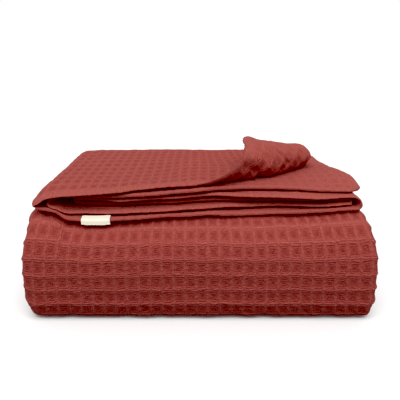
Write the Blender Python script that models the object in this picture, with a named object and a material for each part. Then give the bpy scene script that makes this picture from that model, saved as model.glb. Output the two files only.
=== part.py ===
"""A folded waffle weave cotton blanket: one piece of hemmed cloth, and the tape label sewn at its hem.

Frame: +Z up, the long side of the bundle along X, its tall rounded fold at the front (-Y). The origin is
on the floor, under the middle of the bundle's box.

How it is folded. The flat cloth is turned over itself along its length into a strip of six layers. The
strip is then folded back and forth into five passes: passes 1 to 4 make the lower bundle, whose tall
front fold wraps pass 1, 2, 3 and 4, and pass 5 lies on top, with the hems of its six layers at the front.
The front right corner of the top layer is turned back over the stack.

The cloth is built flat, as it was cut, and each of its points is then carried to its place in the bundle.
Lengths are in millimetres up to the last step, which scales the model to metres.
"""
import math

import bmesh
import bpy
from mathutils import Vector

# Cloth
SHEET = 2.6             # thickness of the cloth over its waffle
HEM_SHEET = 3.6         # thickness of its plain hems
HEM_WIDTH = 12.0
LAYER_PITCH = 4.6       # from layer to layer in the lower bundle
LOOSE_PITCH = 5.3       # from layer to layer in the top pass

# Bundle, before it is pressed into its uneven shape
HALF_WIDTH = 180.0      # at its widest, across X
LAYERS = 6
REST_GAP = 1.6          # air between the top pass and the lower bundle
BACK_LOWER = 95.0       # Y of the centre of the lower back fold
BACK_UPPER = 96.0       # Y of the centre of the upper back fold
FRONT_OUTER = -80.0     # Y of the centre of the tall front fold
FRONT_INNER = -70.0     # Y of the centre of the front fold inside it
INNER_END = 108.0       # Y of the strip's inner end, at the back
HEM_PLACE = -100.0      # Y of the hems at its outer end, on the whole

STRIP = LAYERS * LAYER_PITCH
FIRST_LEVEL = 2.5 * LAYER_PITCH + SHEET / 2
LOWER_TOP = 2 * FIRST_LEVEL + 3 * STRIP
TOP_LEVEL = LOWER_TOP + REST_GAP + SHEET / 2 + 2.5 * LOOSE_PITCH
TOP_TOP = TOP_LEVEL + 2.5 * LOOSE_PITCH + SHEET / 2

# The strip's section, from the free edge of the top layer on: the layer that the cloth lies in, how far the
# fold that leads to the next layer stays back from the outermost fold, and that fold's cells. Folds are left
# and right by turns, and the first is on the left.
SECTION = (
    # layer, fold_inset, fold_cells
    (1, 0.0, 6),
    (6, 0.0, 5),
    (3, 30.0, 3),
    (4, 4.0, 3),
    (5, 10.0, 4),
    (2, 0.0, 0),
)
# X of the grid's lines in every layer, so that flat faces of neighbouring layers bend at the same places
RUN_LINES = (-158.0, -146.0, -136.0, -124.0, -92.0, -40.0, 30.0, 100.0, 145.0)

# Where the hem of each layer of the top pass lies, as (x, y) from left to right
HEMS = {
    1: ((-170.0, -106.0), (-95.0, -105.0), (-71.0, -100.5), (-40.0, -94.0), (0.0, -87.5), (80.0, -85.5),
        (150.0, -90.5)),
    2: ((-155.0, -94.0), (-120.0, -95.0), (-95.0, -101.0), (-71.0, -104.0), (-40.0, -100.5), (0.0, -93.0),
        (22.0, -85.5), (71.0, -80.5), (131.0, -85.5), (175.0, -87.0)),
    3: ((-140.0, -88.0), (-110.0, -90.0), (-86.0, -99.0), (-40.0, -97.0), (0.0, -90.5), (22.0, -87.5),
        (91.0, -98.0), (131.0, -101.0), (170.0, -96.0)),
    4: ((-140.0, -86.0), (-106.0, -88.0), (-80.0, -92.5), (-20.0, -90.0), (22.0, -83.0), (90.0, -86.0),
        (170.0, -90.0)),
    5: ((-155.0, -107.0), (-114.0, -103.0), (-80.0, -107.0), (-20.0, -101.0), (22.0, -92.0), (85.0, -89.0),
        (131.0, -97.0), (170.0, -96.0)),
    6: ((-170.0, -108.0), (-133.0, -115.0), (-71.0, -112.0), (-20.0, -105.0), (50.0, -101.0),
        (111.0, -103.0), (170.0, -102.0)),
}

# The strip's passes 5, 4, 1, 2 and 3, from its hemmed end on top: the pass's level, whether its layer 1
# lies on its upper side, its layer pitch against LAYER_PITCH, the cells along it and the cells of the fold
# that leads to the next pass. Folds are at the back and the front by turns, and the first is at the back.
PASSES = (
    # level, upright, looseness, cells, fold_cells
    (TOP_LEVEL, 1, LOOSE_PITCH / LAYER_PITCH, 6, 5),
    (FIRST_LEVEL + 3 * STRIP, -1, 1.0, 2, 10),
    (FIRST_LEVEL, 1, 1.0, 1, 4),
    (FIRST_LEVEL + STRIP, -1, 1.0, 1, 4),
    (FIRST_LEVEL + 2 * STRIP, 1, 1.0, 1, 0),
)

# Each fold of the strip: the Y of its centre, its reach against its half height for the inmost and the
# outmost layer, and how square it is for both, where 2 is round.
FOLDS = (
    # centre_y, inner_reach, outer_reach, inner_square, outer_square
    (BACK_UPPER, 1.0, 1.0, 2.0, 2.2),
    (FRONT_OUTER, 0.80, 0.87, 2.2, 2.8),
    (BACK_LOWER, 1.0, 1.0, 2.0, 2.2),
    (FRONT_INNER, 1.0, 1.0, 2.0, 2.0),
)

# Free right edges of layers 1 and 2, by pass
TOP_LAYER_RIGHT = 154.0     # layer 1 in the top pass, where its corner is turned back
SECOND_LAYER_RIGHT = 185.5  # layer 2 in the top pass
INNER_LAYER_RIGHT = 172.0   # both elsewhere

# Half widths of the bundle by height, left and right
LEFT_SIDE = ((0.0, 187.0), (12.0, 183.0), (35.0, 182.0), (70.0, 181.0), (100.0, 175.0), (138.0, 168.0))
RIGHT_SIDE = ((0.0, 187.0), (12.0, 183.0), (35.0, 181.0), (70.0, 180.0), (100.0, 174.0), (138.0, 170.0))
# How much the top pass narrows by depth, left and right
LEFT_TAPER = ((-110.0, 0.0), (-40.0, 0.0), (120.0, 3.0))
RIGHT_TAPER = ((-110.0, 4.0), (-20.0, 8.0), (90.0, 19.0), (125.0, 21.0))
TAPER_FROM = 84.0
TAPER_TO = 120.0
# The top pass narrows to a wedge at its left front: how much its underside rises and its top sinks, by X
WEDGE_RISE = ((-172.0, 8.0), (-158.0, 6.0), (-145.0, 3.6), (-134.0, -2.0), (-85.0, -2.5), (-40.0, -1.0),
              (0.0, -0.5), (50.0, -1.0), (90.0, 1.0), (130.0, 3.6), (155.0, 6.0))
WEDGE_SINK = ((-172.0, 3.0), (-130.0, 2.0), (-84.0, 1.2), (-40.0, -0.2), (-5.0, -2.2), (50.0, -1.2),
              (100.0, 0.0), (165.0, 2.5))
WEDGE_FRONT = -60.0
WEDGE_BACK = 100.0
# Right at the left front hem its top is pinched down further, which the sheets near both faces don't feel
PINCH_SINK = ((-172.0, 10.0), (-165.0, 9.2), (-157.0, 6.8), (-148.0, 5.6), (-130.0, 4.0), (-102.0, 1.8),
              (-84.0, 0.8), (-60.0, 0.0))
PINCH_FRONT = -112.0
PINCH_BACK = -60.0
STIFF_SHARE = 0.155     # the share of the top pass's height, below and above, that a pinch leaves stiff
STIFF_FROM = -150.0
STIFF_TO = -138.0
BACK_RISE = 2.0         # how much the top of the bundle rises to the back
# How far the foot of the tall front fold is filled out forward, by height
FOOT_FILL = ((0.0, 1.45), (10.0, 1.22), (25.0, 1.05), (45.0, 1.0))

# The turned corner: the crease runs from a point on the front hem to one on the right hem
CREASE_FRONT = Vector((-9.8, -89.0))
CREASE_BACK = Vector((141.0, 37.0))
ROLL_FRONT = 26.9       # radius of the roll at the front end of its crease
ROLL_BACK = 9.8         # and at its back end
ROLL_ANGLE = math.radians(177)
ROLL_CELLS = 5
ROLL_SAG = 12.0         # how far the roll's foot spreads forward, halfway along
SAG_REACH = 100.0       # and how far behind the crease that is felt
CREASE_LIFT = 5.0       # how far the top layer lifts at the crease's back end
LIFT_REACH = 45.0       # and how far round it that is felt

# The second layer stands up plump at its right, next to the turned corner
PLUMP = 5.8
PLUMP_PLACE = Vector((162.0, -52.0))
PLUMP_REACH = Vector((62.0, 74.0))

CORNER_ROUND = 13.0     # radius of the cloth's own corners

# Label
LABEL_WIDTH = 28.6
LABEL_X = -104.9
LABEL_SHEET = 1.0
LABEL_TUCK = 8.0        # on the upper side of its hem
LABEL_DROP = 6.8        # below its fold
LABEL_CELLS = 4
LABEL_TURN_CELLS = 2
CLEARANCE = 0.3

MM = 0.001


def smooth_rows(rows):
    """A smooth function through (place, value) rows, level beyond them."""
    places = [row[0] for row in rows]
    values = [row[1] for row in rows]
    slopes = [0.0] * len(rows)
    for i in range(1, len(rows) - 1):
        slopes[i] = (values[i + 1] - values[i - 1]) / (places[i + 1] - places[i - 1])

    def value_at(place):
        place = min(max(place, places[0]), places[-1])
        i = next(k for k in range(1, len(places)) if place <= places[k])
        span = places[i] - places[i - 1]
        f = (place - places[i - 1]) / span
        return ((1 + 2 * f) * (1 - f) ** 2 * values[i - 1] + f * f * (3 - 2 * f) * values[i]
                + f * (1 - f) ** 2 * span * slopes[i - 1] - f * f * (1 - f) * span * slopes[i])

    return value_at


left_side = smooth_rows(LEFT_SIDE)
right_side = smooth_rows(RIGHT_SIDE)
left_taper = smooth_rows(LEFT_TAPER)
right_taper = smooth_rows(RIGHT_TAPER)
hem_lines = {layer: smooth_rows(rows) for layer, rows in HEMS.items()}
foot_fill = smooth_rows(FOOT_FILL)
wedge_rise = smooth_rows(WEDGE_RISE)
wedge_sink = smooth_rows(WEDGE_SINK)
pinch_sink = smooth_rows(PINCH_SINK)


def mix(a, b, f):
    return a + (b - a) * f


def eased(value, start, end):
    f = min(max((value - start) / (end - start), 0.0), 1.0)
    return f * f * (3 - 2 * f)


def layer_height(layer):
    """Height of a layer over the middle of the strip, in layer pitches."""
    return (LAYERS + 1) / 2 - layer


# Stretches of the cloth: runs in a layer or a pass, and folds between them, each with its length

def section_stretches():
    """Stretches across the cloth: their kind, their layer's index, their length and their grid lines.

    A grid line's place is given as a share of the stretch.
    """
    stretches = []
    for index, (layer, _, fold_cells) in enumerate(SECTION):
        start_x, end_x = run_ends(index, 0.0)
        shares = sorted((x - start_x) / (end_x - start_x) for x in RUN_LINES)
        shares = [share for share in shares if 0.02 < share < 0.99]
        stretches.append(("run", index, abs(end_x - start_x), shares))
        if index + 1 < len(SECTION):
            radius = abs(layer - SECTION[index + 1][0]) * LAYER_PITCH / 2
            stretches.append(("fold", index, math.pi * radius, even_shares(fold_cells)))
    return stretches


def even_shares(cells):
    return [(i + 1) / cells for i in range(cells - 1)]


def run_ends(index, pass_share):
    """Where a layer's flat run starts and ends in X; pass_share is 1 in the top pass and 0 in the others."""
    fold_xs = []
    for i, row in enumerate(SECTION):
        if i % 2 == 0:
            fold_xs.append(-(HALF_WIDTH - 2.5 * LAYER_PITCH - SHEET / 2) + row[1])
        else:
            fold_xs.append(HALF_WIDTH - 1.5 * LAYER_PITCH - SHEET / 2 - row[1])
    fold_xs[-1] = mix(INNER_LAYER_RIGHT, SECOND_LAYER_RIGHT, pass_share)
    first_x = mix(INNER_LAYER_RIGHT, TOP_LAYER_RIGHT, pass_share)
    return (fold_xs[index - 1] if index else first_x), fold_xs[index]


def path_stretches():
    """Stretches along the strip, as section_stretches gives them across the cloth."""
    centres = [row[0] for row in FOLDS]
    starts_at = [HEM_PLACE] + centres
    ends_at = centres + [INNER_END]
    stretches = []
    for i, (level, _, _, cells, fold_cells) in enumerate(PASSES):
        stretches.append(("run", i, abs(ends_at[i] - starts_at[i]), even_shares(cells)))
        if i < len(FOLDS):
            half = abs(PASSES[i + 1][0] - level) / 2
            stretches.append(("fold", i, math.pi * half, even_shares(fold_cells)))
    return stretches


ACROSS = section_stretches()
ALONG = path_stretches()
CLOTH_WIDTH = sum(stretch[2] for stretch in ACROSS)
CLOTH_LENGTH = sum(stretch[2] for stretch in ALONG)


def find_stretch(stretches, place):
    """The kind and index of the stretch at a place, and how far along it that is, from 0 to 1."""
    for stretch in stretches:
        length = stretch[2]
        if place <= length or stretch is stretches[-1]:
            return stretch[0], stretch[1], min(max(place / length, 0.0), 1.0)
        place -= length


def section_point(across, pass_share, off):
    """A point in the strip's section: its x, its height over the strip's middle, and its offset in both.

    pass_share is 1 in the top pass and 0 in the others; off is the distance from the middle of the sheet.
    """
    kind, index, f = find_stretch(ACROSS, across)
    side = 1 if index % 2 == 0 else -1
    start_x, end_x = run_ends(index, pass_share)
    height = layer_height(SECTION[index][0])
    if kind == "run":
        return mix(start_x, end_x, f), height * LAYER_PITCH, 0.0, side * off
    after_height = layer_height(SECTION[index + 1][0])
    middle = (height + after_height) / 2
    radius = (height - after_height) / 2
    angle = math.pi * f
    x = end_x - side * abs(radius) * LAYER_PITCH * math.sin(angle)
    turn = 1 if radius > 0 else -1
    return (x, (middle + radius * math.cos(angle)) * LAYER_PITCH,
            -turn * off * math.sin(angle), side * off * math.cos(angle))


def hem_y(across, x):
    """Where the front hem lies in Y: in a fold, between the hems of the two layers it joins."""
    kind, index, f = find_stretch(ACROSS, across)
    own = hem_lines[SECTION[index][0]](x)
    if kind == "run":
        return own
    return mix(own, hem_lines[SECTION[index + 1][0]](x), f)


def level_in_pass(index, height, off):
    level, upright, looseness, _, _ = PASSES[index]
    return level + upright * (height * looseness + off)


def carry(across, along, off):
    """Carry a point of the flat cloth to its place in the folded bundle."""
    kind, index, f = find_stretch(ALONG, along)
    pass_share = 0.0
    if index == 0:
        pass_share = 1.0 if kind == "run" else 1 - eased(f, 0.0, 1.0)
    x, height, x_off, n_off = section_point(across, pass_share, off)
    x += x_off
    if kind == "run":
        starts_at = FOLDS[index - 1][0] if index else hem_y(across, x)
        ends_at = FOLDS[index][0] if index < len(FOLDS) else INNER_END
        y = mix(starts_at, ends_at, f)
        z = level_in_pass(index, height, n_off)
    else:
        y, z = fold_point(index, f, height, n_off)
    return press(Vector((x, y, z)))


def fold_point(index, f, height, off):
    """A point in a fold of the strip, which runs round its centre as a rounded square does."""
    centre_y, inner_reach, outer_reach, inner_square, outer_square = FOLDS[index]
    first = level_in_pass(index, height, off)
    second = level_in_pass(index + 1, height, off)
    outness = abs(first - second) / abs(PASSES[index][0] - PASSES[index + 1][0]) / 2
    half = (first - second) / 2
    reach = abs(half) * mix(inner_reach, outer_reach, outness)
    square = mix(inner_square, outer_square, outness)
    angle = math.pi * f
    share = (abs(math.sin(angle)) ** square + abs(math.cos(angle)) ** square) ** (-1 / square)
    outward = 1 if index % 2 == 0 else -1
    y = centre_y + outward * reach * math.sin(angle) * share
    z = (first + second) / 2 + half * math.cos(angle) * share
    return y, z


def press(point):
    """Press the even bundle into its uneven shape, level by level, so that no layer crosses another."""
    x, y, z = point
    over = eased(z, TAPER_FROM, TAPER_TO)
    if x < 0:
        x *= (left_side(z) - over * left_taper(y)) / HALF_WIDTH
    else:
        x *= (right_side(z) - over * right_taper(y)) / HALF_WIDTH
    if y < FRONT_OUTER:
        y = FRONT_OUTER + (y - FRONT_OUTER) * foot_fill(z)
    return Vector((x, y, shape_wedge(x, y, z)))


def shape_wedge(x, y, z):
    """Height in the pressed bundle of a height in the even one, which stays above all lower ones."""
    near = 1 - eased(y, WEDGE_FRONT, WEDGE_BACK)
    rise = wedge_rise(x) * near
    sink = wedge_sink(x) * near - BACK_RISE * (1 - near)
    sink += pinch_sink(x) * (1 - eased(y, PINCH_FRONT, PINCH_BACK))
    if z < LOWER_TOP:
        return z + rise * eased(z, LOWER_TOP / 2, LOWER_TOP)
    share = (z - LOWER_TOP) / (TOP_TOP - LOWER_TOP)
    squeezed = min(max((share - STIFF_SHARE) / (1 - 2 * STIFF_SHARE), 0.0), 1.0)
    share = mix(squeezed, share, eased(x, STIFF_FROM, STIFF_TO))
    return z + mix(rise, -sink, share)


def top_height(point, layer):
    """Height over the floor of the middle of a layer of the top pass, at a point's place."""
    return shape_wedge(point.x, point.y, TOP_LEVEL + layer_height(layer) * LOOSE_PITCH)


def crease_frame(point):
    """A point's distance beyond the corner's crease, its share along it, and the level direction there."""
    crease = CREASE_BACK - CREASE_FRONT
    outward = Vector((crease.y, -crease.x)).normalized()
    share = (point.xy - CREASE_FRONT).dot(crease) / crease.length_squared
    return (point.xy - CREASE_FRONT).dot(outward), min(max(share, 0.0), 1.0), outward


def in_top_layer(point):
    return point.z > top_height(point, 1.5)


def cut_roll(mesh):
    """Cut the top layer along lines that fan out beside the corner's crease, so that it can roll there."""
    outward = crease_frame(CREASE_FRONT.to_3d())[2]
    for i in range(ROLL_CELLS + 1):
        angle = ROLL_ANGLE * i / ROLL_CELLS
        start = CREASE_FRONT + outward * ROLL_FRONT * angle
        end = CREASE_BACK + outward * ROLL_BACK * angle
        faces = [face for face in mesh.faces if all(in_top_layer(vert.co) for vert in face.verts)]
        edges = {edge for face in faces for edge in face.edges}
        verts = {vert for face in faces for vert in face.verts}
        bmesh.ops.bisect_plane(mesh, geom=faces + list(edges) + list(verts), dist=0.01,
                               plane_co=start.to_3d(), plane_no=(end.y - start.y, start.x - end.x, 0.0))


def turn_corner(point):
    """Lift the top layer near its crease, and roll its corner up and back."""
    beyond, share, outward = crease_frame(point)
    roll = mix(ROLL_FRONT, ROLL_BACK, share)
    sag = ROLL_SAG * eased(share, 0.1, 0.6) * (1 - eased(share, 0.6, 1.0))
    lift = CREASE_LIFT * (1 - eased((point.xy - CREASE_BACK).length, 0.0, LIFT_REACH))
    if beyond <= 0:
        spread = outward * sag * eased(beyond, -SAG_REACH, 0.0)
        return point + Vector((spread.x, spread.y, lift))
    level = top_height(point, 1)
    radius = roll - (point.z - level)
    angle = min(beyond / roll, ROLL_ANGLE)
    tail = beyond - roll * angle
    flat = radius * math.sin(angle) + tail * math.cos(angle) + sag * (1 - angle / ROLL_ANGLE)
    rise = roll - radius * math.cos(angle) + tail * math.sin(angle) + lift
    place = point.xy + outward * (flat - beyond)
    return Vector((place.x, place.y, level + rise))


def plump(point):
    """Lift a point near the plump place of the second layer, the more the higher it lies."""
    off = point.xy - PLUMP_PLACE
    near = max(1 - (off.x / PLUMP_REACH.x) ** 2 - (off.y / PLUMP_REACH.y) ** 2, 0.0)
    held = eased(point.y, hem_lines[2](point.x) + 2.0, hem_lines[2](point.x) + 26.0)
    above = eased(point.z, top_height(point, 3.0), top_height(point, 2.2))
    return point + Vector((0, 0, PLUMP * near ** 0.7 * above * held))


def round_corner(u, v):
    """Pull a place on the flat cloth inward where it lies in one of the cloth's rounded corners."""
    a, b = (max(CORNER_ROUND - min(place, size - place), 0.0) / CORNER_ROUND
            for place, size in ((u, CLOTH_WIDTH), (v, CLOTH_LENGTH)))
    in_u = CORNER_ROUND * a * (1 - math.sqrt(1 - b * b / 2))
    in_v = CORNER_ROUND * b * (1 - math.sqrt(1 - a * a / 2))
    return u + math.copysign(in_u, CLOTH_WIDTH / 2 - u), v + math.copysign(in_v, CLOTH_LENGTH / 2 - v)


def grid_lines(stretches):
    """Places of the grid's lines along the stretches, with one line at each end hem."""
    lines = [0.0]
    for _, _, length, shares in stretches:
        start = lines[-1]
        lines += [start + length * share for share in shares] + [start + length]
    lines += [HEM_WIDTH, lines[-1] - HEM_WIDTH]
    return sorted(lines)


def flat_cloth():
    """The cloth as it was cut: a flat slab with the grid that its folds need."""
    mesh = bmesh.new()
    columns = grid_lines(ACROSS)
    rows = grid_lines(ALONG)
    sides = []
    for side in (-1, 1):
        sides.append([[mesh.verts.new((u, v, side)) for v in rows] for u in columns])
    for verts, order in zip(sides, (-1, 1)):
        for i in range(len(columns) - 1):
            for j in range(len(rows) - 1):
                quad = (verts[i][j], verts[i + 1][j], verts[i + 1][j + 1], verts[i][j + 1])
                mesh.faces.new(quad[::order])
    under, over = sides
    ring = [(i, 0) for i in range(len(columns))]
    ring += [(len(columns) - 1, j) for j in range(1, len(rows))]
    ring += [(i, len(rows) - 1) for i in range(len(columns) - 2, -1, -1)]
    ring += [(0, j) for j in range(len(rows) - 2, 0, -1)]
    for (i, j), (k, m) in zip(ring, ring[1:] + ring[:1]):
        mesh.faces.new((under[i][j], under[k][m], over[k][m], over[i][j]))
    return mesh


def sheet_half(u, v):
    """Half the sheet's thickness at a place on the cloth, which its hems have more of."""
    edge = min(u, v, CLOTH_WIDTH - u, CLOTH_LENGTH - v)
    return HEM_SHEET / 2 if edge < HEM_WIDTH - 0.01 else SHEET / 2


def material(name, colour, roughness):
    surface = bpy.data.materials.new(name)
    surface.use_nodes = True
    shader = surface.node_tree.nodes["Principled BSDF"]
    shader.inputs["Base Color"].default_value = (*colour, 1.0)
    shader.inputs["Roughness"].default_value = roughness
    return surface


def add_object(name, mesh, surface):
    """Make an object of a bmesh in millimetres."""
    bmesh.ops.scale(mesh, vec=(MM, MM, MM), verts=mesh.verts)
    bmesh.ops.recalc_face_normals(mesh, faces=mesh.faces)
    data = bpy.data.meshes.new(name)
    mesh.to_mesh(data)
    mesh.free()
    data.materials.append(surface)
    data.shade_smooth()
    obj = bpy.data.objects.new(name, data)
    bpy.context.scene.collection.objects.link(obj)
    return obj


def hem_edge(x):
    """The upper front edge of the top pass's lowest layer, which is straight between grid lines."""
    start = ACROSS[0][2] + ACROSS[1][2]
    lines = [u for u in grid_lines(ACROSS) if start <= u <= start + ACROSS[2][2]]
    points = [carry(u, 0.0, -HEM_SHEET / 2) for u in lines]
    for point, after in zip(points, points[1:]):
        if x <= after.x:
            return point.lerp(after, (x - point.x) / (after.x - point.x))
    return points[-1]


def build_label():
    """The tape: tucked in over its hem, turned over the hem's edge and hanging down in front of it."""
    mesh = bmesh.new()
    rings = []
    for i in range(LABEL_CELLS + 1):
        x = LABEL_X + LABEL_WIDTH * (i / LABEL_CELLS - 0.5)
        rings.append([mesh.verts.new(point) for point in label_ring(hem_edge(x))])
    for ring, after in zip(rings, rings[1:]):
        for i in range(len(ring)):
            k = (i + 1) % len(ring)
            mesh.faces.new((ring[i], ring[k], after[k], after[i]))
    mesh.faces.new(rings[0][::-1])
    mesh.faces.new(rings[-1])
    return add_object("label", mesh, material("Cream tape", (0.72, 0.62, 0.45), 0.8))


def label_ring(edge):
    """The tape's outline, from its tucked end over the hem's edge to its hanging end, and back."""
    inner = []
    outer = []
    for reach, line in ((CLEARANCE, inner), (CLEARANCE + LABEL_SHEET, outer)):
        line.append(edge + Vector((0, LABEL_TUCK, reach)))
        for i in range(LABEL_TURN_CELLS + 1):
            angle = math.pi / 2 * i / LABEL_TURN_CELLS
            line.append(edge + Vector((0, -math.sin(angle), math.cos(angle))) * reach)
        line.append(edge + Vector((0, -reach, -LABEL_DROP)))
    return inner + outer[::-1]


def build_blanket():
    mesh = flat_cloth()
    for vert in mesh.verts:
        u, v, side = vert.co
        vert.co = carry(*round_corner(u, v), side * sheet_half(u, v))
    cut_roll(mesh)
    for vert in mesh.verts:
        if in_top_layer(vert.co):
            vert.co = turn_corner(vert.co)
        else:
            vert.co = plump(vert.co)
    return add_object("blanket", mesh, material("Waffle cotton", (0.31, 0.045, 0.04), 0.95))


def centre(objects):
    """Move the objects so that the origin is under the middle of the box that holds them."""
    for axis in (0, 1):
        places = [vert.co[axis] for obj in objects for vert in obj.data.vertices]
        for obj in objects:
            obj.location[axis] = -(min(places) + max(places)) / 2


for old in list(bpy.data.objects):
    bpy.data.objects.remove(old)
centre([build_blanket(), build_label()])
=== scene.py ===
# %% [markdown]
# # A folded waffle weave cotton blanket
# One piece of brick red cotton cloth, woven in deep waffle cells and hemmed all round, is folded into a
# bundle. One corner of its top layer is turned back, and a plain cream tape is sewn at its front hem.
# The frame holds the folded cloth as plain solids. This script weaves the cloth on those folds: it builds the
# cloth flat, as it was cut, with its hems and its waffle, and carries each of its points into the bundle.

# %% Frame
import math

import bpy
import numpy as np
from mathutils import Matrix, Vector, noise


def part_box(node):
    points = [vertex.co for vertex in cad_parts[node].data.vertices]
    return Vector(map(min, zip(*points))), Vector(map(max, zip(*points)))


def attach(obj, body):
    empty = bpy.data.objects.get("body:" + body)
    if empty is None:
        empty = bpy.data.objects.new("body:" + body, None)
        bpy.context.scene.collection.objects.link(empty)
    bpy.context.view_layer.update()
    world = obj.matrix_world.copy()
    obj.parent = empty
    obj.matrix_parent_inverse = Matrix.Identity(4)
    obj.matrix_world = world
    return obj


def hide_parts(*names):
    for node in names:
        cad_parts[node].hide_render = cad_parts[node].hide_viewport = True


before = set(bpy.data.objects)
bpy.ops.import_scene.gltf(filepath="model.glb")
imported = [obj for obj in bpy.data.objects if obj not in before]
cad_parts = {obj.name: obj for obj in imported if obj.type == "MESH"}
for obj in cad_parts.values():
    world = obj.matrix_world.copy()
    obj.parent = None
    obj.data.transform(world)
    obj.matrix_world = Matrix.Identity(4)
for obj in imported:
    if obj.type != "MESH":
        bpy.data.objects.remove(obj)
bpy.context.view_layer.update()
LABEL_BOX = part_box("label")

# %% [markdown]
# ## The cloth and how it is folded
# A blanket like this is cut from a roll, hemmed, and folded by hand: first over itself along its length into
# a strip of six layers, then back and forth into five passes. The driving sizes are those of the frame's
# solids, in millimetres, so that each layer of cloth lies where its solid lies.

# %% Sizes of the cloth and of its strip
MM = 0.001
SHEET_HALF = 1.3        # half the sheet's thickness, where no cell shows
LAYER_PITCH = 4.6       # from layer to layer in the lower bundle
LOOSE_PITCH = 5.3       # from layer to layer in the top pass
LAYERS = 6
HALF_STACK = (LAYERS - 1) / 2       # pitches from the middle of a pass to its outermost layers
HALF_WIDTH = 180.0      # of the even bundle
BACK_LOWER = 95.0       # Y of the centres of the folds, at the back
BACK_UPPER = 96.0
FRONT_OUTER = -80.0     # and at the front: the tall one that wraps the inner passes,
FRONT_INNER = -70.0     # and the one inside it
INNER_END = 108.0       # Y of the cloth's far end, inside the bundle
HEM_PLACE = -100.0      # Y of the front hems, on the whole

STRIP = LAYERS * LAYER_PITCH
FIRST_LEVEL = 12.8      # height of the middle of the lowest pass
LOWER_TOP = 2 * FIRST_LEVEL + 3 * STRIP
TOP_CLEAR = 2.9         # from there up to the middle of the top pass's lowest layer
TOP_LEVEL = LOWER_TOP + TOP_CLEAR + HALF_STACK * LOOSE_PITCH
TOP_TOP = TOP_LEVEL + HALF_STACK * LOOSE_PITCH + SHEET_HALF
print(f"lower bundle up to {LOWER_TOP:.1f} mm, top pass up to {TOP_TOP:.1f} mm")

# %% How the strip is folded: its section, its passes and its folds
# The strip's section from the free edge of the top layer on: the layer, and how far the fold that leads to
# the next layer stays back from the outermost fold. Folds are left and right by turns.
SECTION = (
    # layer, fold_inset
    (1, 0.0),
    (6, 0.0),
    (3, 30.0),
    (4, 4.0),
    (5, 10.0),
    (2, 0.0),
)

# The strip's passes from the hems on: the pass, its level, whether its layer 1 lies on its upper side, and
# how loose its layers lie. Folds are at the back and the front by turns.
PASSES = (
    # number, level, upright, looseness
    (5, TOP_LEVEL, 1, LOOSE_PITCH / LAYER_PITCH),
    (4, FIRST_LEVEL + 3 * STRIP, -1, 1.0),
    (1, FIRST_LEVEL, 1, 1.0),
    (2, FIRST_LEVEL + STRIP, -1, 1.0),
    (3, FIRST_LEVEL + 2 * STRIP, 1, 1.0),
)

# Each fold of the strip: the Y of its centre, its reach against its half height for the inmost and the
# outmost layer, and how square it is for both, where 2 is round.
FOLDS = (
    # centre_y, inner_reach, outer_reach, inner_square, outer_square
    (BACK_UPPER, 1.0, 1.0, 2.0, 2.2),
    (FRONT_OUTER, 0.80, 0.87, 2.2, 2.8),
    (BACK_LOWER, 1.0, 1.0, 2.0, 2.2),
    (FRONT_INNER, 1.0, 1.0, 2.0, 2.0),
)

# %% [markdown]
# ## Carrying a point of the flat cloth into the bundle
# Folded cloth can be simulated, but so many close layers take long to get right, and their folds then lie
# where they fall, not where the photographed ones lie. Here each fold is a formula instead: a point of the
# flat cloth has a place across, a place along and a distance from the middle of the sheet, and the functions
# below say where that is in the section of the strip, then along its passes, then in the pressed bundle.

# %% Small mathematics
def smooth_rows(rows):
    """A smooth function through (place, value) rows, level beyond them."""
    places = [row[0] for row in rows]
    values = [row[1] for row in rows]
    slopes = [0.0] * len(rows)
    for i in range(1, len(rows) - 1):
        slopes[i] = (values[i + 1] - values[i - 1]) / (places[i + 1] - places[i - 1])

    def value_at(place):
        place = min(max(place, places[0]), places[-1])
        i = next(k for k in range(1, len(places)) if place <= places[k])
        span = places[i] - places[i - 1]
        f = (place - places[i - 1]) / span
        return ((1 + 2 * f) * (1 - f) ** 2 * values[i - 1] + f * f * (3 - 2 * f) * values[i]
                + f * (1 - f) ** 2 * span * slopes[i - 1] - f * f * (1 - f) * span * slopes[i])

    return value_at


def mix(a, b, f):
    return a + (b - a) * f


def eased(value, start, end):
    """0 up to a start, 1 from an end on, and a soft step between them."""
    f = min(max((value - start) / (end - start), 0.0), 1.0)
    return f * f * (3 - 2 * f)


def within(value, window):
    """1 inside a window (starts, full) or (starts, full, fades, gone), and 0 outside it."""
    inside = eased(value, *window[:2])
    return inside * (1 - eased(value, *window[2:])) if window[2:] else inside


# %% [markdown]
# ### Stretches
# Seen edge on, the cloth is a line of flat runs and half turns. Their lengths could be measured on the folded
# cloth, but they follow from the levels and the ends of the runs, and summed they give the size the cloth was
# cut to, so that is how the flat size is found.

# %% Stretches of the cloth: flat runs, and the folds between them
LEFT_RADIUS = 2.5       # of the outermost left fold, from layer 1 to 6, in layer pitches
RIGHT_RADIUS = 1.5      # of the outermost right fold, from layer 6 to 3
LEFT_FOLD = -(HALF_WIDTH - LEFT_RADIUS * LAYER_PITCH - SHEET_HALF)      # X of their centres
RIGHT_FOLD = HALF_WIDTH - RIGHT_RADIUS * LAYER_PITCH - SHEET_HALF
TOP_LAYER_RIGHT = 154.0         # X of the right ends of layers 1 and 2 in the top pass
SECOND_LAYER_RIGHT = 185.5
INNER_LAYER_RIGHT = 172.0       # and of both in the other passes


def layer_height(layer):
    """Height of a layer over the middle of the strip, in layer pitches."""
    return (LAYERS + 1) / 2 - layer


def run_ends(index, pass_share):
    """Where a layer's run starts and ends in X; pass_share is 1 in the top pass and 0 in the others."""
    fold_xs = []
    for i, (_, inset) in enumerate(SECTION):
        if i % 2 == 0:
            fold_xs.append(LEFT_FOLD + inset)
        else:
            fold_xs.append(RIGHT_FOLD - inset)
    fold_xs[-1] = mix(INNER_LAYER_RIGHT, SECOND_LAYER_RIGHT, pass_share)
    first_x = mix(INNER_LAYER_RIGHT, TOP_LAYER_RIGHT, pass_share)
    return (fold_xs[index - 1] if index else first_x), fold_xs[index]


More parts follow.
